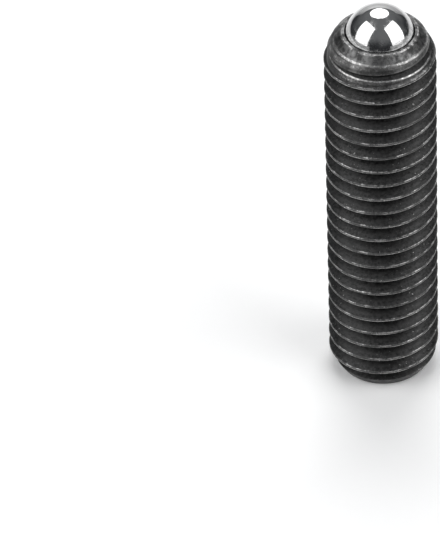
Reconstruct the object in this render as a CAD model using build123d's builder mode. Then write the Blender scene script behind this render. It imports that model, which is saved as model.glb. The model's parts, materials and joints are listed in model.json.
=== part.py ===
from build123d import *
from math import asin, ceil, cos, degrees, radians, sin, sqrt, tan
import os

# Ball-nosed spring plunger, M8 x 1.25, all in millimetres.
# It stands on its socket end: the middle of that rim is the origin and +Z points to the ball.

# Body
body_length = 30.0
crest_d = 7.9
pitch = 1.25
first_root_z = 0.11
rim_d = 6.5
rim_chamfer_length = 1.21
nose_chamfer_length = 1.05
crimp_edge_d = 6.6
crimp_height = 0.75
lip_land = 0.1

# Hex socket
key_across_flats = 4.0
socket_depth = 5.0
countersink_d = 5.9
countersink_angle = 120.0
pilot_d = 3.9
pilot_depth = 5.8
drill_point_angle = 118.0

# Ball and its bore
ball_d = 5.0
ball_protrusion = 1.85
bore_depth = 13.0
bore_clearance = 0.06
seat_gap = 0.02

# Spring
wire_d = 0.7
coil_d = 3.8
active_coils = 4
closed_coil_gap = 0.04
wire_side_count = 8

# ISO metric thread form: 60 degree flanks, the crest flat an eighth of the pitch
flank_angle = 30.0
crest_flat = pitch / 8
thread_depth = 0.6134 * pitch
thread_overrun = 0.1

crest_r = crest_d / 2
root_r = crest_r - thread_depth
ball_r = ball_d / 2
ball_z = body_length + ball_protrusion - ball_r
bore_r = ball_r + bore_clearance
bore_floor_z = body_length - bore_depth
seat_r = ball_r + seat_gap
crimp_edge_z = body_length - crimp_height
shoulder_z = crimp_edge_z - nose_chamfer_length

# The inside of the crimped lip follows the ball from half way up to the mouth.
lip_angle = degrees(asin((body_length - ball_z) / seat_r))
lip_start_angle = lip_angle / 2
lip_r = seat_r * cos(radians(lip_angle))

# One turn of the thread groove, a little taller than the thread so that it breaks out clean.
# The body cuts it once for each turn, from below the rim to above the nose.
groove_top_r = crest_r + thread_overrun
groove_mouth = pitch - crest_flat + 2 * thread_overrun * tan(radians(flank_angle))
groove_root = groove_mouth - 2 * (groove_top_r - root_r) * tan(radians(flank_angle))

with BuildPart() as groove:
    with BuildLine() as groove_path:
        Helix(pitch, pitch, root_r)
    with BuildSketch(Plane.XZ):
        with BuildLine():
            Polyline(
                (root_r, -groove_root / 2),
                (groove_top_r, -groove_mouth / 2),
                (groove_top_r, groove_mouth / 2),
                (root_r, groove_root / 2),
                close=True,
            )
        make_face()
    sweep(path=groove_path.wires()[0], is_frenet=True)

groove_start_z = first_root_z - 2 * pitch
groove_turns = ceil((body_length + pitch - groove_start_z) / pitch)

with BuildPart() as body:
    # Turned outside: rim, lead-in chamfer, crest diameter, nose chamfer, crimped cone, lip
    with BuildSketch(Plane.XZ):
        with BuildLine():
            Polyline(
                (0, 0),
                (rim_d / 2, 0),
                (crest_r, rim_chamfer_length),
                (crest_r, shoulder_z),
                (crimp_edge_d / 2, crimp_edge_z),
                (lip_r + lip_land, body_length),
                (0, body_length),
                close=True,
            )
        make_face()
    revolve(axis=Axis.Z)

    # Rolled thread, running out over both chamfers
    with Locations([(0, 0, groove_start_z + turn * pitch) for turn in range(groove_turns)]):
        add(groove.part, mode=Mode.SUBTRACT)

    # Bore for the spring and the ball, closing in over the ball at the lip
    with BuildSketch(Plane.XZ):
        with BuildLine():
            lip_curve = CenterArc((0, ball_z), seat_r, lip_start_angle, lip_angle - lip_start_angle)
            Polyline(
                lip_curve @ 1,
                (0, body_length),
                (0, bore_floor_z),
                (bore_r, bore_floor_z),
                (bore_r, ball_z),
                lip_curve @ 0,
            )
        make_face()
    revolve(axis=Axis.Z, mode=Mode.SUBTRACT)

    # Hex socket: broached hexagon over a drilled pilot hole, with a countersunk mouth
    with BuildSketch(Plane.XY):
        RegularPolygon(key_across_flats / 2, 6, major_radius=False, rotation=30)
    extrude(amount=socket_depth, mode=Mode.SUBTRACT)
    pilot_tip_z = pilot_depth + pilot_d / 2 / tan(radians(drill_point_angle / 2))
    with BuildSketch(Plane.XZ):
        with BuildLine():
            Polyline(
                (0, 0),
                (pilot_d / 2, 0),
                (pilot_d / 2, pilot_depth),
                (0, pilot_tip_z),
                close=True,
            )
        make_face()
    revolve(axis=Axis.Z, mode=Mode.SUBTRACT)
    countersink_tip_z = countersink_d / 2 / tan(radians(countersink_angle / 2))
    with BuildSketch(Plane.XZ):
        with BuildLine():
            Polyline((0, 0), (countersink_d / 2, 0), (0, countersink_tip_z), close=True)
        make_face()
    revolve(axis=Axis.Z, mode=Mode.SUBTRACT)

with BuildPart() as ball:
    with Locations((0, 0, ball_z)):
        Sphere(ball_r)

# Compression spring: a closed coil at each end, ground flat, and open coils between.
# Its top coil takes the ball in its inner edge.
wire_r = wire_d / 2
coil_r = coil_d / 2
spring_bottom_z = bore_floor_z + seat_gap
spring_top_z = ball_z - sqrt(ball_r**2 - (coil_r - wire_r) ** 2) - seat_gap
closed_pitch = wire_d + closed_coil_gap
open_height = spring_top_z - spring_bottom_z - 2 * closed_pitch

with BuildPart() as spring:
    with BuildLine() as coil_path:
        first_coil = Helix(closed_pitch, closed_pitch, coil_r, center=(0, 0, spring_bottom_z))
        Helix(
            open_height / active_coils,
            open_height,
            coil_r,
            center=(0, 0, spring_bottom_z + closed_pitch),
        )
        Helix(closed_pitch, closed_pitch, coil_r, center=(0, 0, spring_top_z - closed_pitch))
    with BuildSketch(Plane(origin=first_coil @ 0, x_dir=(1, 0, 0), z_dir=first_coil % 0)):
        RegularPolygon(wire_r, wire_side_count)
    sweep(path=coil_path.wires()[0], is_frenet=True)
    split(bisect_by=Plane.XY.offset(spring_bottom_z), keep=Keep.TOP)
    split(bisect_by=Plane.XY.offset(spring_top_z), keep=Keep.BOTTOM)

os.makedirs("parts", exist_ok=True)
body.part.label = "body"
export_step(body.part, "parts/body.step")
ball.part.label = "ball"
export_step(ball.part, "parts/ball.step")
spring.part.label = "spring"
export_step(spring.part, "parts/spring.step")
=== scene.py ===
# %% [markdown]
# # A ball-nosed spring plunger
# A spring plunger is a small machine part: a threaded steel body that screws into a fixture, and a
# polished ball that a spring pushes out of its nose. The ball clicks into a notch and gives way again.
# The construction model already fixes the main sizes and the ball's travel. This lesson builds the
# same three pieces, the body, the ball and the spring, with a finer nose and thread, gives them the
# finish that they have on a bench, and lights them. The sizes below are the ones that a maker's
# drawing of this plunger would carry.

# %% Load the frame
import json
import math

import bpy
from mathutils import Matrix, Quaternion, Vector

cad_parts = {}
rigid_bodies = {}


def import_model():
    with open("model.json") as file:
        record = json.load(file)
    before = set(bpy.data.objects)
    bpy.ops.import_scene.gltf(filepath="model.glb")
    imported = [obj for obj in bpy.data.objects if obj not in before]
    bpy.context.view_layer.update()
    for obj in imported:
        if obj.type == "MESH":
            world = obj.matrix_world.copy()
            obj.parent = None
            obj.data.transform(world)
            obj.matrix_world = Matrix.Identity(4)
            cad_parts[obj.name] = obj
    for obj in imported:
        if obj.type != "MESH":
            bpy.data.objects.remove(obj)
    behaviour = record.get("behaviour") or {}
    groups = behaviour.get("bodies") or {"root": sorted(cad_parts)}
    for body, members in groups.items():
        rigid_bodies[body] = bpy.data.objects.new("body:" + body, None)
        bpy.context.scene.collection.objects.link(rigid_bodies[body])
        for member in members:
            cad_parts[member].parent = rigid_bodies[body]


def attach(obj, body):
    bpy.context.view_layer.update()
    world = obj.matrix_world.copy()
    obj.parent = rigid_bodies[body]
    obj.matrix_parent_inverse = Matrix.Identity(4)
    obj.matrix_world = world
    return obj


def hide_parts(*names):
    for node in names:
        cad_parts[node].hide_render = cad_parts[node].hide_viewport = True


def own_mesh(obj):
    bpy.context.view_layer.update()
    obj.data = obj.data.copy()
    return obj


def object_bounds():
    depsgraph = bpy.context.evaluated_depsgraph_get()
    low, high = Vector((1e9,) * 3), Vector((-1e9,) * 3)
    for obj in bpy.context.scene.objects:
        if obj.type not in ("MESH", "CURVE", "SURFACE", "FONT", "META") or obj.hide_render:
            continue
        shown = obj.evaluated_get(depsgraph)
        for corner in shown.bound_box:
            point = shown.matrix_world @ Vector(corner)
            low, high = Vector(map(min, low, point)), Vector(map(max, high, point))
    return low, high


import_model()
cad_low, cad_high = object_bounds()
MM = 0.001
print("construction box, mm:", [round((b - a) / MM, 2) for a, b in zip(cad_low, cad_high)])

# %% [markdown]
# ## The camera
# The plunger stands on its socket end and is seen from well above, about 40 degrees, through a long lens
# from nearly half a metre. A long lens keeps the sides of the thread almost parallel. The camera is
# aimed a little to the left of the plunger and below it, so the part stands in the upper right of the
# picture, and it is turned by two degrees about its own line of sight.

# %% Camera
view_height = math.radians(40.1)
view_distance = 0.438
aim_aside = 11.55 * MM
aim_below = 6.37 * MM
camera_roll = math.radians(2.06)
lens_length = 400
sensor_width = 36

part_centre = (cad_low + cad_high) / 2
towards_camera = Vector((0, -math.cos(view_height), math.sin(view_height)))
picture_up = Vector((0, math.sin(view_height), math.cos(view_height)))

bpy.ops.object.camera_add(location=part_centre + towards_camera * view_distance)
camera = bpy.context.object
camera.data.lens = lens_length
camera.data.sensor_width = sensor_width
camera.data.clip_start = 0.01
aim = part_centre - Vector((aim_aside, 0, 0)) - picture_up * aim_below
sight = (aim - camera.location).normalized()
camera.rotation_mode = "QUATERNION"
camera.rotation_quaternion = Quaternion(sight, camera_roll) @ sight.to_track_quat("-Z", "Y")
bpy.context.scene.camera = camera
print("camera at, mm:", [round(c / MM, 1) for c in camera.location])

# %% [markdown]
# ## The studio
# Small steel parts look best in a light tent: one tall soft panel on each side, a smaller one
# behind and above, and a white table. The room in front stays dark. The polished ball shows all of
# that as two white petals, a white spot near the top and dark bands between, so the panels have to
# stand where the ball sees them. Area lights do this best, because a mirror shows their outline. A
# narrow fourth panel turns its back on the part and lights only the backdrop.

# %% Lights
def add_panel(name, direction, distance, width, height, radiance, lean=0.0, shape="RECTANGLE"):
    """A soft panel, seen from the nose of the plunger in the given direction and facing it."""
    outwards = Vector(direction).normalized()
    place = outwards * distance + Vector((0, 0, cad_high.z))
    bpy.ops.object.light_add(type="AREA", location=place)
    panel = bpy.context.object
    panel.name = name
    panel.rotation_mode = "QUATERNION"
    facing = (-outwards).to_track_quat("-Z", "Y")
    panel.rotation_quaternion = Quaternion(outwards, math.radians(lean)) @ facing
    panel.data.shape = shape
    panel.data.size = width
    panel.data.size_y = height
    panel.data.energy = radiance * math.pi * width * height


side_panel = {"distance": 0.30, "width": 0.28, "height": 0.403, "radiance": 2.35}
side_lean = 12
for name, side in (("panel_left", -1), ("panel_right", 1)):
    add_panel(name, (side * 0.796, -0.315, 0.521), lean=-side * side_lean, **side_panel)
behind_panel = {"distance": 0.35, "width": 0.272, "height": 0.28, "radiance": 3.0}
add_panel("panel_behind", (0, 0.606, 0.795), shape="ELLIPSE", **behind_panel)

backdrop_place = (0, 0.32, 0.40)
backdrop_tilt = math.radians(72)
backdrop_width = 0.50
backdrop_height = 0.08
backdrop_power = 1.0
bpy.ops.object.light_add(type="AREA", location=backdrop_place)
backdrop_light = bpy.context.object
backdrop_light.name = "panel_backdrop"
backdrop_light.rotation_euler = (backdrop_tilt, 0, 0)
backdrop_light.data.shape = "RECTANGLE"
backdrop_light.data.size = backdrop_width
backdrop_light.data.size_y = backdrop_height
backdrop_light.data.energy = backdrop_power

# %% [markdown]
# The room itself is darkest low down and a little lighter overhead, and a soft noise keeps it uneven,
# like dark cloth hung round the tent. One plain grey would do for the steel, but the ball would show it
# as a flat tone.

# %% Room
room_low = (0.045, 0.047, 0.05, 1)
room_overhead = (0.18, 0.185, 0.19, 1)
room_lightens_from = 0.55
room_unevenness = 0.8
cloth_scale = 1.6

studio = bpy.data.worlds.new("dark_studio")
bpy.context.scene.world = studio
studio.use_nodes = True
sky = studio.node_tree
direction = sky.nodes.new("ShaderNodeTexCoord").outputs["Generated"]
cloth = sky.nodes.new("ShaderNodeTexNoise")
cloth.inputs["Scale"].default_value = cloth_scale
upwards = sky.nodes.new("ShaderNodeSeparateXYZ")
uneven = sky.nodes.new("ShaderNodeMath")
uneven.operation = "MULTIPLY_ADD"
uneven.inputs[1].default_value = room_unevenness
ceiling = sky.nodes.new("ShaderNodeValToRGB")
ceiling.color_ramp.elements[0].position = room_lightens_from
ceiling.color_ramp.elements[0].color = room_low
ceiling.color_ramp.elements[1].position = 1.0
ceiling.color_ramp.elements[1].color = room_overhead
sky.links.new(direction, cloth.inputs["Vector"])
sky.links.new(direction, upwards.inputs[0])
sky.links.new(cloth.outputs["Fac"], uneven.inputs[0])
sky.links.new(upwards.outputs["Z"], uneven.inputs[2])
sky.links.new(uneven.outputs[0], ceiling.inputs[0])
sky.links.new(ceiling.outputs[0], sky.nodes["Background"].inputs["Color"])
bpy.context.scene.view_settings.view_transform = "Standard"

# %% [markdown]
# The table is a sheet of white card that sweeps up behind the part, the usual seamless background. The
# ball shows how far it reaches: under both side panels, a hand's length to the front, where the dark
# room begins low in the ball's picture, and so high behind that it lights the ball's whole upper rim.

# %% Card
def deselect_all():
    bpy.ops.object.select_all(action="DESELECT")


def edit_points(piece, is_chosen):
    """Opens the active piece for editing, with only the chosen points selected."""
    bpy.ops.object.mode_set(mode="EDIT")
    bpy.ops.mesh.select_mode(type="VERT")
    bpy.ops.mesh.select_all(action="DESELECT")
    bpy.ops.object.mode_set(mode="OBJECT")
    for vertex in piece.data.vertices:
        vertex.select = is_chosen(vertex.co)
    bpy.ops.object.mode_set(mode="EDIT")


card_side = 0.44
card_front = 0.21
card_back = 0.62
card_height = 0.33
sweep_radius = 0.12
sweep_steps = 16

deselect_all()
bpy.ops.mesh.primitive_plane_add(size=1, location=(0, (card_back - card_front) / 2, cad_low.z))
card = bpy.context.object
card.name = "card"
card.scale = (2 * card_side, card_back + card_front, 1)
bpy.ops.object.transform_apply(location=True, rotation=True, scale=True)
edit_points(card, lambda place: place.y > 0)
bpy.ops.transform.translate(value=(0, -sweep_radius, 0))
bpy.ops.mesh.spin(
    steps=sweep_steps,
    angle=math.radians(-90),
    center=(0, card_back - sweep_radius, sweep_radius),
    axis=(1, 0, 0),
)
rise = {"value": (0, 0, card_height - sweep_radius)}
bpy.ops.mesh.extrude_region_move(TRANSFORM_OT_translate=rise)
bpy.ops.object.mode_set(mode="OBJECT")
bpy.ops.object.shade_smooth()

print("card, m:", [round(side, 3) for side in card.dimensions])

# %% [markdown]
# Two long, low grey boards stand on the card before the side panels, turned a little to the front and
# cut lower towards the back. They hide the panels' lower edges and throw some light back, and the ball
# shows them as the pale band that closes each petal from below. The camera itself doesn't see them, so
# that they don't stand in its way when it goes round the part close to the table.

# %% Boards
board_length = 0.36
board_height = 0.058
board_drop = 0.024
board_aside = 0.253
board_forwards = 0.092
board_turn = math.radians(55)


def is_back_top(place):
    return place.y > -board_forwards and place.z > board_height / 2


boards = []
for name, side in (("board_left", -1), ("board_right", 1)):
    deselect_all()
    bpy.ops.mesh.primitive_plane_add(
        size=1,
        location=(side * board_aside, -board_forwards, board_height / 2),
        rotation=(math.radians(90), 0, side * board_turn),
    )
    board = bpy.context.object
    board.name = name
    board.scale = (board_length, board_height, 1)
    bpy.ops.object.transform_apply(location=True, rotation=True, scale=True)
    edit_points(board, is_back_top)
    bpy.ops.transform.translate(value=(0, 0, -board_drop))
    bpy.ops.object.mode_set(mode="OBJECT")
    board.visible_camera = False
    boards.append(board)
print("boards, m:", [[round(length, 3) for length in board.dimensions] for board in boards])

# %% [markdown]
# ## Helpers for turned shapes
# The whole plunger is turned on a lathe, so almost every shape starts as half of its cross-section. An
# outline is drawn the way it is drawn by hand: one point, extruded from corner to corner. The Screw
# modifier then swings it round the axis, with no rise for a turned shape and with one pitch of rise for
# each turn for a thread or a coil.

# %% Outline, arc and lathe
def select_only(piece):
    deselect_all()
    bpy.context.view_layer.objects.active = piece
    piece.select_set(True)


def draw_outline(name, points):
    """An open line in the XZ plane through the points (radius, height), in millimetres."""
    deselect_all()
    bpy.ops.mesh.primitive_plane_add(size=MM)
    outline = bpy.context.object
    outline.name = name
    bpy.ops.object.mode_set(mode="EDIT")
    bpy.ops.mesh.select_mode(type="VERT")
    bpy.ops.mesh.select_all(action="SELECT")
    bpy.ops.mesh.merge(type="CENTER")
    bpy.ops.mesh.select_all(action="SELECT")
    pen = Vector((0, 0))
    for count, point in enumerate(points):
        step = (Vector(point) - pen) * MM
        move = {"value": (step.x, 0, step.y)}
        if count == 0:
            bpy.ops.transform.translate(**move)
        else:
            bpy.ops.mesh.extrude_vertices_move(TRANSFORM_OT_translate=move)
        pen = Vector(point)
    bpy.ops.object.mode_set(mode="OBJECT")
    return outline


def arc(centre, radius, start, end, pieces):
    """Points on an arc from the start angle to the end angle, in degrees from +X."""
    angles = [math.radians(start + (end - start) * i / pieces) for i in range(pieces + 1)]
    return [(centre[0] + radius * math.cos(a), centre[1] + radius * math.sin(a)) for a in angles]


def round_corner(before, corner, after, radius, pieces=3):
    """A corner of an outline eased by a small curve that touches both of its sides."""
    corner, points = Vector(corner), []
    to_before = (Vector(before) - corner).normalized() * radius
    to_after = (Vector(after) - corner).normalized() * radius
    for i in range(pieces + 1):
        t = i / pieces
        points.append(tuple(corner + to_before * (1 - t) ** 2 + to_after * t**2))
    return points


def ease_outline(points, radii):
    """The outline with its corners eased; radii names them by their place in the list."""
    eased = []
    for i, point in enumerate(points):
        if i in radii:
            eased += round_corner(points[i - 1], point, points[i + 1], radii[i])
        else:
            eased.append(point)
    return eased


def swing(outline, steps, turns=1, rise=0.0):
    """Turns an outline about Z, and lifts it by the rise, in millimetres, at every turn."""
    screw = outline.modifiers.new("swing", "SCREW")
    screw.axis = "Z"
    screw.angle = math.radians(360)
    screw.screw_offset = rise * MM
    screw.iterations = turns
    screw.steps = steps
    screw.render_steps = steps
    apply_modifiers(outline)
    bpy.ops.object.mode_set(mode="EDIT")
    bpy.ops.mesh.select_all(action="SELECT")
    bpy.ops.mesh.remove_doubles(threshold=0.001 * MM)
    bpy.ops.object.mode_set(mode="OBJECT")


def apply_modifiers(piece):
    select_only(piece)
    for modifier in list(piece.modifiers):
        bpy.ops.object.modifier_apply(modifier=modifier.name)

# %% [markdown]
# ## The thread
# The body is an M8 x 1.25 thread over its whole length: a 60 degree ridge that climbs one pitch in
# every turn. A thread can be faked with rings or bump, but then the run-out at the ends is wrong and
# the edge of the picture is smooth. Here one pitch of the real profile is drawn, with the crest's
# corners worn and the root rounded as thread rolling leaves it, and swung with one pitch of rise. The
# dies also leave a shallow seam along the middle of the crest, which makes it shine as a double line.
# The last turns pass both ends of the body, and a later step trims them.

# %% Thread profile and thread bar
pitch = 1.25
crest_r = 3.95
thread_depth = 0.6134 * pitch
crest_flat = 0.135 * pitch
crest_seam = 0.012
crest_ease = 0.03
root_ease = 0.07
first_root_z = 0.11
body_length = 30.0
turn_steps = 96
spare_turns = 2

flank = math.tan(math.radians(30))
root_r = crest_r - thread_depth
flank_rise = thread_depth * flank
root_flat = pitch - crest_flat - 2 * flank_rise
one_pitch = [
    (root_r, 0),
    (root_r, root_flat / 2),
    (crest_r, root_flat / 2 + flank_rise),
    (crest_r - crest_seam, pitch / 2),
    (crest_r, root_flat / 2 + flank_rise + crest_flat),
    (root_r, pitch - root_flat / 2),
    (root_r, pitch),
]
one_pitch = ease_outline(one_pitch, {1: root_ease, 2: crest_ease, 4: crest_ease, 5: root_ease})
turns = math.ceil(body_length / pitch) + 2 * spare_turns
start_z = first_root_z - spare_turns * pitch
body = draw_outline("threaded_body", [(r, z + start_z) for r, z in one_pitch])
swing(body, turn_steps, turns, pitch)
print("thread bar:", turns, "turns,", len(body.data.polygons), "faces")

# %% [markdown]
# The swung thread is still an open skin. Its free edge at each end is one turn of the root and one
# profile. Each is extruded, gathered into a point on the axis and pulled outwards, which closes the bar
# with a low cone that the trimming will remove.

# %% Close the bar's ends
def close_end(piece, is_end, pull):
    """Gathers the open edge on one end of a bar into a point and moves that point along Z."""
    select_only(piece)
    bpy.ops.object.mode_set(mode="EDIT")
    bpy.ops.mesh.select_mode(type="VERT")
    bpy.ops.mesh.select_all(action="DESELECT")
    bpy.ops.mesh.select_non_manifold(extend=False)
    bpy.ops.object.mode_set(mode="OBJECT")
    for edge in piece.data.edges:
        edge.select = False
    for vertex in piece.data.vertices:
        vertex.select = vertex.select and is_end(vertex.co)
    bpy.ops.object.mode_set(mode="EDIT")
    bpy.ops.mesh.extrude_region_move(TRANSFORM_OT_translate={"value": (0, 0, 0)})
    bpy.ops.mesh.merge(type="CENTER")
    bpy.ops.transform.translate(value=(0, 0, pull))
    bpy.ops.object.mode_set(mode="OBJECT")


def point_normals_outwards(piece):
    select_only(piece)
    bpy.ops.object.mode_set(mode="EDIT")
    bpy.ops.mesh.select_all(action="SELECT")
    bpy.ops.mesh.normals_make_consistent(inside=False)
    bpy.ops.object.mode_set(mode="OBJECT")


end_pull = 3 * MM
middle_z = body_length / 2 * MM
close_end(body, lambda place: place.z < middle_z, -end_pull)
close_end(body, lambda place: place.z > middle_z, end_pull)
point_normals_outwards(body)
print("closed bar:", len(body.data.polygons), "faces")

# %% [markdown]
# ## The land under the nose
# The last groove below the nose is not a whole one. The dies enter there, and the steel that they push
# ahead of them fills its lower half, so the first crest has a broad, scratched land above it. It could
# be pressed out of the thread's own points, but a turned ring is simpler: its upper edge is level and
# eased. It sits a little forwards, so it is flush with the crest in front and sinks into the groove
# behind. A wide cone tipped by four degrees cuts its lower side, which hides inside the crest in front
# and lets the groove run out smoothly behind.

# %% Land
def combine(piece, other, operation):
    """Joins two solids, keeps what they share or cuts one out of the other; the other is removed."""
    boolean = piece.modifiers.new("combine", "BOOLEAN")
    boolean.object = other
    boolean.operation = operation
    boolean.solver = "EXACT"
    apply_modifiers(piece)
    bpy.data.objects.remove(other)


lathe_steps = 128
land_forwards = 0.215
land_sunk = 0.008
land_edge_reach = 3.743
land_bend_z = 28.02
land_bend_ease = 0.10
land_edge_ease = 0.06
land_low = 27.93
land_tip = math.radians(4.2)
core_depth = 0.35

land_r = crest_r - land_sunk - land_forwards
land_edge = (land_edge_reach - land_forwards, 28.45)
land_foot_z = land_low - 1
core_r = root_r - core_depth
core_z = land_edge[1] + (land_edge[0] - core_r) * flank
land_outline = [
    (0, land_foot_z),
    (land_r, land_foot_z),
    (land_r, land_bend_z),
    land_edge,
    (core_r, core_z),
    (0, core_z),
]
land = draw_outline("land", ease_outline(land_outline, {2: land_bend_ease, 3: land_edge_ease}))
swing(land, lathe_steps)
point_normals_outwards(land)
bpy.ops.transform.translate(value=(0, -land_forwards * MM, 0))
bpy.ops.object.transform_apply(location=True, rotation=True, scale=True)
wide_r = crest_r + 1
cutter_foot_z = land_low - 4
cutter_outline = [
    (0, cutter_foot_z),
    (wide_r, cutter_foot_z),
    (wide_r, land_low + (wide_r - crest_r) * flank),
    (0, land_low - crest_r * flank),
]
cutter = draw_outline("cutter", cutter_outline)
swing(cutter, turn_steps)
point_normals_outwards(cutter)
bpy.ops.object.mode_set(mode="EDIT")
bpy.ops.mesh.select_all(action="SELECT")
bpy.ops.transform.rotate(value=land_tip, orient_axis="Y", center_override=(0, 0, land_low * MM))
bpy.ops.object.mode_set(mode="OBJECT")
combine(land, cutter, "DIFFERENCE")
combine(body, land, "UNION")
print("thread bar with its land:", len(body.data.polygons), "faces")

# %% [markdown]
# ## The turned blank
# What the lathe leaves: a rim at the socket end, a chamfer that leads the thread in, another at the
# nose, and the nose's thin edge rolled inwards over the ball. The lip closes above the ball's widest
# place and follows it closely, so that only a fine dark line shows round the ball. Inside are the
# ball's bore and, from the other end, the drilled pilot hole of the socket with its countersunk mouth.
# One outline holds all of it. Between the chamfers it stands proud of the thread, so that the thread
# alone shows there.

# %% Blank and trimming
rim_r = 3.25
rim_chamfer = 1.21
nose_chamfer = 1.40
crimp_height = 0.58
crimp_edge_r = 3.3
lip_edge_r = 2.72
lip_edge_fall = 0.03
lip_gap_r = 2.46
lip_low_angle = 2
lip_high_angle = 12
ball_r = 2.5
ball_protrusion = 1.85
seat_gap = 0.02
bore_clearance = 0.06
bore_depth = 13.0
pilot_r = 1.95
pilot_depth = 5.8
drill_half_angle = math.radians(59)
countersink_r = 2.95
countersink_half_angle = math.radians(60)
standing_proud = 0.35
mouth_ease, rim_ease, crimp_ease, lip_ease, gap_ease = 0.05, 0.03, 0.06, 0.05, 0.015

crimp_edge_z = body_length - crimp_height
lip_edge_z = body_length - lip_edge_fall
ball_z = body_length + ball_protrusion - ball_r
seat_r = ball_r + seat_gap
bore_r = ball_r + bore_clearance
bore_floor_z = body_length - bore_depth
proud_r = crest_r + standing_proud
rim_slope = rim_chamfer / (crest_r - rim_r)
nose_slope = nose_chamfer / (crest_r - crimp_edge_r)
blank_outline = [
    (0, pilot_depth + pilot_r / math.tan(drill_half_angle)),
    (pilot_r, pilot_depth),
    (pilot_r, (countersink_r - pilot_r) / math.tan(countersink_half_angle)),
    (countersink_r, 0),
    (rim_r, 0),
    (proud_r, (proud_r - rim_r) * rim_slope),
    (proud_r, crimp_edge_z - (proud_r - crimp_edge_r) * nose_slope),
    (crimp_edge_r, crimp_edge_z),
    (lip_edge_r, lip_edge_z),
    (lip_gap_r, body_length),
    *reversed(arc((0, ball_z), seat_r, lip_low_angle, lip_high_angle, pieces=8)),
    (bore_r, ball_z),
    (bore_r, bore_floor_z),
    (0, bore_floor_z),
]
blank_eases = {3: mouth_ease, 4: rim_ease, 7: crimp_ease, 8: lip_ease, 9: gap_ease}
blank = draw_outline("turned_blank", ease_outline(blank_outline, blank_eases))
swing(blank, lathe_steps)
point_normals_outwards(blank)
combine(body, blank, "INTERSECT")
print("trimmed body:", len(body.data.polygons), "faces")

# %% [markdown]
# ## The hexagon socket
# A hexagonal broach is pushed into the pilot hole and leaves six flats, 4 mm across. Where the flats
# meet the countersink's cone the edge turns into six scallops. A six-sided cylinder is the broach.

# %% Broach the hexagon
key_across_flats = 4.0
socket_depth = 5.0
broach_overrun = 2
smooth_below = math.radians(40)

deselect_all()
bpy.ops.mesh.primitive_cylinder_add(
    vertices=6,
    radius=key_across_flats / 2 / math.cos(math.radians(30)) * MM,
    depth=(socket_depth + broach_overrun) * MM,
    location=(0, 0, (socket_depth - broach_overrun) / 2 * MM),
)
broach = bpy.context.object
bpy.ops.object.mode_set(mode="EDIT")
bpy.ops.mesh.select_all(action="SELECT")
bpy.ops.transform.rotate(value=math.radians(30), orient_axis="Z", center_override=(0, 0, 0))
bpy.ops.object.mode_set(mode="OBJECT")
combine(body, broach, "DIFFERENCE")
select_only(body)
bpy.ops.object.shade_smooth_by_angle(angle=smooth_below)
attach(body, "screw")
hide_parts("body")
print("body:", len(body.data.polygons), "faces")

# %% [markdown]
# ## The ball
# A bearing ball is the roundest thing in the workshop. Rings and a pole would show in its reflections,
# so it grows from a cube: the cube is divided evenly and every point is cast onto the sphere.

# %% Ball
ball_divisions = 6

deselect_all()
bpy.ops.mesh.primitive_cube_add(size=2 * ball_r * MM, location=(0, 0, ball_z * MM))
ball = bpy.context.object
ball.name = "polished_ball"
divide = ball.modifiers.new("divide", "SUBSURF")
divide.subdivision_type = "SIMPLE"
divide.levels = ball_divisions
divide.render_levels = ball_divisions
cast = ball.modifiers.new("cast", "CAST")
cast.factor = 1.0
cast.size = ball_r * MM
cast.use_radius_as_size = False
apply_modifiers(ball)
bpy.ops.object.transform_apply(location=True, rotation=True, scale=True)
bpy.ops.object.shade_smooth()
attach(ball, "nose_ball")
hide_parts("ball")
print("ball:", len(ball.data.polygons), "faces")

# %% [markdown]
# ## The spring
# Behind the ball sits a short compression spring. It is wound from round wire: one closed coil at each
# end, so that it stands straight, and four open coils between. The ends are ground flat. A ring of
# points, the wire's section, is swung three times, closed, open and closed, and the coils are joined.

# %% Spring
wire_r = 0.35
wire_points = 18
coil_r = 1.9
coil_steps = 64
closed_rise = 0.74
open_coils = 4
spring_gap = 0.02

spring_low = bore_floor_z + spring_gap
spring_high = ball_z - math.sqrt(ball_r**2 - (coil_r - wire_r) ** 2) - spring_gap
open_rise = (spring_high - spring_low - 2 * closed_rise) / open_coils


def wind_coils(start_z, coils, rise):
    """Coils of wire from the start height, each climbing by the rise, in millimetres."""
    deselect_all()
    bpy.ops.mesh.primitive_circle_add(
        vertices=wire_points,
        radius=wire_r * MM,
        location=(coil_r * MM, 0, start_z * MM),
        rotation=(math.radians(90), 0, 0),
    )
    coil = bpy.context.object
    bpy.ops.object.transform_apply(location=True, rotation=True, scale=True)
    swing(coil, coil_steps, coils, rise)
    return coil


spring = wind_coils(spring_low, 1, closed_rise)
spring.name = "coil_spring"
middle = wind_coils(spring_low + closed_rise, open_coils, open_rise)
last = wind_coils(spring_high - closed_rise, 1, closed_rise)
deselect_all()
for coil in (middle, last, spring):
    coil.select_set(True)
bpy.context.view_layer.objects.active = spring
bpy.ops.object.join()
bpy.ops.object.mode_set(mode="EDIT")
bpy.ops.mesh.select_all(action="SELECT")
bpy.ops.mesh.remove_doubles(threshold=0.002 * MM)
bpy.ops.object.mode_set(mode="OBJECT")
spring_middle = (spring_low + spring_high) / 2 * MM
close_end(spring, lambda place: place.z < spring_middle, 0)
close_end(spring, lambda place: place.z > spring_middle, 0)
bpy.ops.object.mode_set(mode="EDIT")
for height, side in ((spring_low, 1), (spring_high, -1)):
    bpy.ops.mesh.select_all(action="SELECT")
    bpy.ops.mesh.bisect(
        plane_co=(0, 0, height * MM),
        plane_no=(0, 0, side),
        use_fill=True,
        clear_inner=True,
        threshold=0.0001 * MM,
    )
bpy.ops.object.mode_set(mode="OBJECT")
point_normals_outwards(spring)
bpy.ops.object.shade_smooth_by_angle(angle=smooth_below)
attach(spring, "screw")
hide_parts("spring")
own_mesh(spring)
print("spring:", len(spring.data.polygons), "faces")

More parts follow.
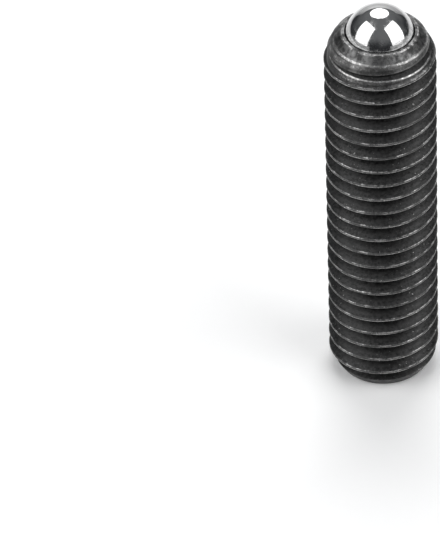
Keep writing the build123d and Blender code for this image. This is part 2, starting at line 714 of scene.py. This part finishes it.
# %% [markdown]
# ## Helpers for finishes
# Every finish is a small network of shader nodes that reads the place on the piece, in millimetres from
# the frame's origin, so a pattern keeps its true size and needs no picture. These helpers add one node
# each. A fade is the most useful: it turns a distance or a noise into a soft mask from 0 to 1.

# %% Nodes in one line each
def add_node(tree, kind, inputs, **settings):
    """A shader node. An input is a number, a colour, or another node's output, which is linked."""
    node = tree.nodes.new("ShaderNode" + kind)
    for name, setting in settings.items():
        setattr(node, name, setting)
    for socket, value in inputs.items():
        if isinstance(value, bpy.types.NodeSocket):
            tree.links.new(value, node.inputs[socket])
        else:
            node.inputs[socket].default_value = value
    return node


def calculate(tree, operation, *numbers):
    return add_node(tree, "Math", dict(enumerate(numbers)), operation=operation).outputs[0]


def fade(tree, value, start, end, low=0.0, high=1.0):
    """Goes softly from low, where the value is at the start, to high, where it is at the end."""
    inputs = {"Value": value, "From Min": start, "From Max": end, "To Min": low, "To Max": high}
    return add_node(tree, "MapRange", inputs, interpolation_type="SMOOTHSTEP").outputs[0]


def stretch(tree, vector, factors):
    inputs = {0: vector, 1: factors}
    return add_node(tree, "VectorMath", inputs, operation="MULTIPLY").outputs["Vector"]


def length_of(tree, vector):
    return add_node(tree, "VectorMath", {0: vector}, operation="LENGTH").outputs["Value"]


def point_at(tree, x, y, z=0.0):
    return add_node(tree, "CombineXYZ", {0: x, 1: y, 2: z}).outputs[0]


def clouds(tree, vector, grain, detail=3.0, rough=0.55):
    """Noise around 0.5 whose largest blotches are about one grain, in millimetres, across."""
    inputs = {"Vector": vector, "Scale": 1 / grain, "Detail": detail, "Roughness": rough}
    return add_node(tree, "TexNoise", inputs).outputs["Fac"]


def mix_colours(tree, mask, below, above):
    """The first colour where the mask is 0 and the second where it is 1."""
    # The Mix node has sockets for each kind of value: inputs 6 and 7 and output 2 are for colours.
    inputs = {"Factor": mask, 6: below, 7: above}
    return add_node(tree, "Mix", inputs, data_type="RGBA").outputs[2]


def emboss(tree, height, depth):
    """A normal from a height between 0 and 1 that stands for so many millimetres."""
    inputs = {"Height": height, "Distance": depth * MM, "Strength": 1.0}
    return add_node(tree, "Bump", inputs).outputs["Normal"]


def grey(value, warmth=0.0):
    return (value * (1 + warmth), value, value * (1 - warmth), 1)


def start_finish(name, metallic=1.0):
    """A new material, with its node tree, its shader and the place on the piece in millimetres."""
    finish = bpy.data.materials.new(name)
    finish.use_nodes = True
    tree = finish.node_tree
    shader = tree.nodes["Principled BSDF"]
    shader.inputs["Metallic"].default_value = metallic
    object_place = tree.nodes.new("ShaderNodeTexCoord").outputs["Object"]
    place = stretch(tree, object_place, (1 / MM, 1 / MM, 1 / MM))
    return finish, tree, shader, place


def connect(tree, shader, colour, roughness, normal):
    for socket, value in (("Base Color", colour), ("Roughness", roughness), ("Normal", normal)):
        tree.links.new(value, shader.inputs[socket])


def finish_piece(piece, finish):
    piece.data.materials.clear()
    piece.data.materials.append(finish)
    print(piece.name, "has", finish.name, "with", len(finish.node_tree.nodes), "nodes")

# %% [markdown]
# Card goes first, because it is the simplest: matt, very slightly clouded, with a fine grain.

# %% Card, white and grey
def matt_card(name, shade):
    finish, tree, shader, place = start_finish(name, metallic=0.0)
    cloudy = clouds(tree, place, 25.0)
    colour = mix_colours(tree, fade(tree, cloudy, 0.3, 0.7), grey(shade), grey(shade - 0.02))
    roughness = fade(tree, cloudy, 0.3, 0.7, low=0.55, high=0.65)
    connect(tree, shader, colour, roughness, emboss(tree, clouds(tree, place, 0.5), 0.01))
    return finish


card.data.materials.append(matt_card("white_card", 0.94))
grey_card = matt_card("grey_card", 0.55)
for board in boards:
    board.data.materials.append(grey_card)

# %% [markdown]
# ## The body's finish
# The body is blackened steel. The bath leaves a thin dark layer with a fine mottle, and handling rubs it
# away wherever the part touches something: along the thread's crests, on the chamfers at both ends and
# on the rolled lip. The wear is what makes the thread readable, so it gets the most care. It could be
# painted on a picture, but a picture has one size. Instead the nodes work out where on the thread a
# point lies: its radius, and how far it is across the profile, which climbs one pitch in every turn.

# %% Where a point lies on the body
def locate_on_body(tree, place):
    """Radius and height in millimetres, and across: 0 and 1 at the roots, 0.5 on the crest."""
    parts = add_node(tree, "SeparateXYZ", {0: place}).outputs
    radius = length_of(tree, stretch(tree, place, (1, 1, 0)))
    angle = calculate(tree, "ARCTAN2", parts["Y"], parts["X"])
    turn = calculate(tree, "DIVIDE", angle, 2 * math.pi)
    climb = calculate(tree, "SUBTRACT", parts["Z"], first_root_z)
    climb = calculate(tree, "DIVIDE", climb, pitch)
    across = calculate(tree, "FRACT", calculate(tree, "SUBTRACT", climb, turn))
    return radius, parts["Z"], across


def above_cone(tree, radius, height, foot, top):
    """How far a point lies outside the cone that joins two points of the outline, in millimetres."""
    along = (Vector(top) - Vector(foot)).normalized()
    outwards = Vector((along.y, -along.x))
    from_axis = calculate(tree, "MULTIPLY_ADD", radius, outwards.x, -outwards.dot(Vector(foot)))
    return calculate(tree, "MULTIPLY_ADD", height, outwards.y, from_axis)


def near_ring(tree, radius, height, ring, reach):
    """1 on a ring given by its radius and height, fading to 0 at the reach."""
    aside = calculate(tree, "SUBTRACT", radius, ring[0])
    level = calculate(tree, "SUBTRACT", height, ring[1])
    return fade(tree, length_of(tree, point_at(tree, aside, level)), reach, reach / 3)

# %% [markdown]
# The masks come next. Wear starts a few hundredths of a millimetre inside the outermost surface, and a
# noise moves that border in and out, which frays the bright line into nicks and sparkles. A second,
# wider noise lets whole stretches of a crest stay darker than the next. The two edges of a crest wear
# before its seam does, and the land under the nose is only scratched, along the way it was rolled. A few
# dings from other parts in the bin sit in loose groups on the flanks.

# %% The body's masks
wear_depth = 0.08
fray_depth = 0.04
nose_wear = 0.26
rim_wear = 0.18


def multiply(tree, first, *others):
    for other in others:
        first = calculate(tree, "MULTIPLY", first, other)
    return first


def rubbed_thread(tree, place, radius, height, across, lines, streaks):
    """Where the blackening is rubbed through on the crests and on the two chamfers."""
    grains = clouds(tree, place, 0.16, detail=4.0)
    fray = fade(tree, grains, 0.3, 0.7, low=-fray_depth, high=fray_depth)
    frayed = calculate(tree, "ADD", radius, fray)
    outermost = fade(tree, frayed, crest_r - wear_depth, crest_r)
    side = calculate(tree, "SUBTRACT", across, 0.5)
    edge = crest_flat / pitch / 2
    lower_luck = fade(tree, clouds(tree, place, 1.6), 0.38, 0.60, low=0.25, high=0.95)
    near_nose = fade(tree, height, 25.0, 27.5, high=0.85)
    lower_luck = calculate(tree, "MAXIMUM", lower_luck, near_nose)
    lower = multiply(tree, fade(tree, side, -edge * 0.1, -edge * 0.9, low=0.06), lower_luck)
    elsewhere = stretch(tree, place, (1.3, -1.3, 1.3))
    upper_luck = clouds(tree, elsewhere, 1.1, detail=5.0)
    upper_luck = fade(tree, upper_luck, 0.45, 0.65, low=0.12, high=0.95)
    upper = multiply(tree, fade(tree, side, edge * 0.1, edge * 0.9), upper_luck)
    from_middle = calculate(tree, "ABSOLUTE", side)
    on_crest = fade(tree, from_middle, edge * 1.1, edge * 1.4, low=1.0, high=0.0)
    scratches = fade(tree, streaks, 0.46, 0.64, low=0.15, high=0.6)
    shown = calculate(tree, "MAXIMUM", on_crest, scratches)
    crest = multiply(tree, outermost, calculate(tree, "MAXIMUM", lower, upper), shown)
    nicks = fade(tree, clouds(tree, place, 0.16, detail=2.0), 0.66, 0.74)
    nicked = multiply(tree, fade(tree, radius, crest_r - 0.12, crest_r - 0.04), on_crest)
    crest = calculate(tree, "MAXIMUM", crest, multiply(tree, nicks, nicked))
    dings = fade(tree, clouds(tree, elsewhere, 0.17, detail=2.0), 0.66, 0.74, high=0.6)
    crowded = fade(tree, clouds(tree, place, 2.2), 0.48, 0.60)
    on_flank = fade(tree, radius, root_r + 0.15, root_r + 0.35)
    crest = calculate(tree, "MAXIMUM", crest, multiply(tree, dings, crowded, on_flank))
    nose_foot = (crest_r, crimp_edge_z - nose_chamfer)
    nose_cone = above_cone(tree, radius, height, nose_foot, (crimp_edge_r, crimp_edge_z))
    rim_cone = above_cone(tree, radius, height, (rim_r, 0), (crest_r, rim_chamfer))
    patchy = fade(tree, clouds(tree, place, 0.8), 0.35, 0.65, low=0.3, high=1.3)
    turned = fade(tree, lines, 0.35, 0.65, low=0.3, high=1.3)
    for cone, share in ((nose_cone, nose_wear), (rim_cone, rim_wear)):
        proud = fade(tree, calculate(tree, "ADD", cone, fray), -0.09, 0.0, high=share)
        crest = calculate(tree, "MAXIMUM", crest, multiply(tree, proud, patchy, turned))
    return crest


def rubbed_rings(tree, place, radius, height):
    """Where the edges of the turned ends shine. The last number is how much shines everywhere."""
    grains = clouds(tree, place, 0.3, detail=4.0)
    rings = (
        (crimp_edge_r, crimp_edge_z, 0.13, 0.5),
        (lip_edge_r, lip_edge_z, 0.10, 0.08),
        (countersink_r, 0, 0.10, 0.2),
    )
    shine = 0.0
    for ring_r, ring_z, reach, least in rings:
        sparkle = fade(tree, grains, 0.48, 0.62, low=least)
        ring = near_ring(tree, radius, height, (ring_r, ring_z), reach)
        shine = calculate(tree, "MAXIMUM", multiply(tree, ring, sparkle), shine)
    shift = {0: place, 1: (0, land_forwards, 0)}
    land_place = add_node(tree, "VectorMath", shift, operation="ADD").outputs["Vector"]
    land_radius = locate_on_body(tree, land_place)[0]
    ring = near_ring(tree, land_radius, height, land_edge, 0.09)
    sparkle = fade(tree, grains, 0.36, 0.62, low=0.35)
    return calculate(tree, "MAXIMUM", multiply(tree, ring, sparkle), shine)


def smears(tree, place, radius, height):
    """Satin patches that the rolling tool left on the nose's cone, some drawn out up and down."""
    flat_place = stretch(tree, place, (1, 1, 0))
    around = add_node(tree, "VectorMath", {0: flat_place}, operation="NORMALIZE").outputs[0]
    upwards = stretch(tree, place, (0, 0, 0.3))
    drawn = add_node(tree, "VectorMath", {0: around, 1: upwards}, operation="ADD").outputs[0]
    fine = clouds(tree, drawn, 0.22, detail=5.0, rough=0.7)
    wide = clouds(tree, place, 0.7, detail=4.0, rough=0.65)
    both = calculate(tree, "MULTIPLY_ADD", fine, 0.5, calculate(tree, "MULTIPLY", wide, 0.5))
    patches = fade(tree, both, 0.42, 0.58)
    on_cone = fade(tree, height, crimp_edge_z - 0.05, crimp_edge_z + 0.05)
    outside = fade(tree, radius, lip_gap_r - 0.02, lip_gap_r + 0.04)
    return multiply(tree, on_cone, outside, patches)

# %% [markdown]
# With the masks at hand the finish itself is short. Two blacks are mottled together, fine lines and
# short streaks run along the flanks as the rolling dies leave them, and bright steel shows through the
# masks, with a few spots of painted glints where its colour is raised nearly to white. The rubbed places
# are also smoother, so roughness follows the same masks. A very low bump breaks the shine, a little more
# on the crests, whose pits make it sparkle.

# %% Black steel
def black_steel():
    finish, tree, shader, place = start_finish("black_steel")
    radius, height, across = locate_on_body(tree, place)
    line_place = point_at(tree, calculate(tree, "MULTIPLY", across, 9.0), radius, height)
    lines = clouds(tree, line_place, 1.0, detail=2.0)
    parts = add_node(tree, "SeparateXYZ", {0: place}).outputs
    profile_place = calculate(tree, "MULTIPLY", across, 11.0)
    streaks = clouds(tree, point_at(tree, parts["X"], parts["Y"], profile_place), 1.0, detail=4.0)
    thread = rubbed_thread(tree, place, radius, height, across, lines, streaks)
    rings = rubbed_rings(tree, place, radius, height)
    cone = smears(tree, place, radius, height)

    mottle = clouds(tree, place, 0.22, detail=5.0, rough=0.7)
    black = mix_colours(tree, fade(tree, mottle, 0.35, 0.68), grey(0.020), grey(0.064))
    black = mix_colours(tree, fade(tree, lines, 0.35, 0.65, high=0.35), black, grey(0.06))
    black = mix_colours(tree, fade(tree, streaks, 0.50, 0.70, high=0.5), black, grey(0.075))
    black = mix_colours(tree, calculate(tree, "MULTIPLY", cone, 0.7), black, grey(0.19))
    bare = calculate(tree, "MAXIMUM", thread, rings)
    # Painted glints: in small spots the bare steel's colour is raised to near white, standing in for
    # bright glints of light.
    painted_glints = fade(tree, clouds(tree, place, 0.14, detail=2.0), 0.56, 0.68)
    steel = mix_colours(tree, painted_glints, grey(0.44, 0.01), grey(0.95))
    colour = mix_colours(tree, bare, black, steel)

    roughness = fade(tree, mottle, 0.3, 0.7, low=0.42, high=0.60)
    smoother = multiply(tree, calculate(tree, "MAXIMUM", bare, cone), 0.18)
    roughness = calculate(tree, "SUBTRACT", roughness, smoother)
    pits = multiply(tree, clouds(tree, place, 0.12), thread, 1.3)
    relief = calculate(tree, "ADD", calculate(tree, "MULTIPLY_ADD", streaks, 0.8, mottle), pits)
    connect(tree, shader, colour, roughness, emboss(tree, relief, 0.006))
    return finish


finish_piece(body, black_steel())

# %% [markdown]
# ## The ball's finish
# The ball is hard chrome steel, ground and lapped until it is a mirror. A perfect mirror looks like a
# computer's, though. A real one has a slight haze that comes and goes, finger smudges, and hairline
# marks from every click into a notch, so roughness wanders a little, in patches and in fine lines, and
# a very low bump moves the reflections' edges. Close above the lip a mottled ring of painted shade
# darkens the ball where it meets the body, and makes it a little rougher there.

# %% Polished ball
lip_shade_full_z = body_length + 0.15
lip_shade_top_z = body_length + 1.0


def polished_steel():
    finish, tree, shader, place = start_finish("polished_ball")
    haze = clouds(tree, place, 1.6, detail=4.0)
    hairs = clouds(tree, stretch(tree, place, (1.0, 1.0, 9.0)), 0.5, detail=5.0, rough=0.7)
    height = add_node(tree, "SeparateXYZ", {0: place}).outputs["Z"]
    # Painted shade: a mottled darker ring just above the lip, where the ball meets the body; the same
    # ring also adds a little roughness.
    lip_shade_band = clouds(tree, stretch(tree, place, (1.0, 1.0, 2.0)), 0.25, detail=4.0, rough=0.65)
    lip_shade_band = fade(tree, lip_shade_band, 0.44, 0.56, low=0.05)
    lip_shade_band = multiply(tree, lip_shade_band, fade(tree, height, lip_shade_top_z, lip_shade_full_z))
    colour = mix_colours(tree, fade(tree, haze, 0.35, 0.65), grey(0.64), grey(0.57))
    colour = mix_colours(tree, lip_shade_band, colour, grey(0.33))

    roughness = fade(tree, haze, 0.35, 0.7, low=0.045, high=0.10)
    hair_marks = fade(tree, hairs, 0.62, 0.75, high=0.10)
    smudges = fade(tree, clouds(tree, place, 0.9, detail=6.0, rough=0.65), 0.52, 0.68, high=0.16)
    marks = calculate(tree, "ADD", hair_marks, smudges)
    marks = calculate(tree, "MULTIPLY_ADD", lip_shade_band, 0.08, marks)
    roughness = calculate(tree, "ADD", roughness, marks)
    connect(tree, shader, colour, roughness, emboss(tree, hairs, 0.0006))
    return finish


finish_piece(ball, polished_steel())

# %% [markdown]
# ## The spring's finish
# Spring wire is drawn through a die, which leaves lines along the wire, and the heat that sets the
# coils tints it a faint straw colour. It is hidden behind the ball, and seen when the part is cut open.

# %% Spring wire
def spring_wire():
    finish, tree, shader, place = start_finish("spring_wire")
    blotch = clouds(tree, place, 0.9, detail=4.0)
    draw_lines = clouds(tree, stretch(tree, place, (1, 1, 6)), 0.3, detail=4.0)
    colour = mix_colours(tree, fade(tree, blotch, 0.35, 0.65), grey(0.42, 0.02), grey(0.34, 0.10))
    roughness = fade(tree, draw_lines, 0.3, 0.7, low=0.24, high=0.42)
    connect(tree, shader, colour, roughness, emboss(tree, draw_lines, 0.004))
    return finish


finish_piece(spring, spring_wire())
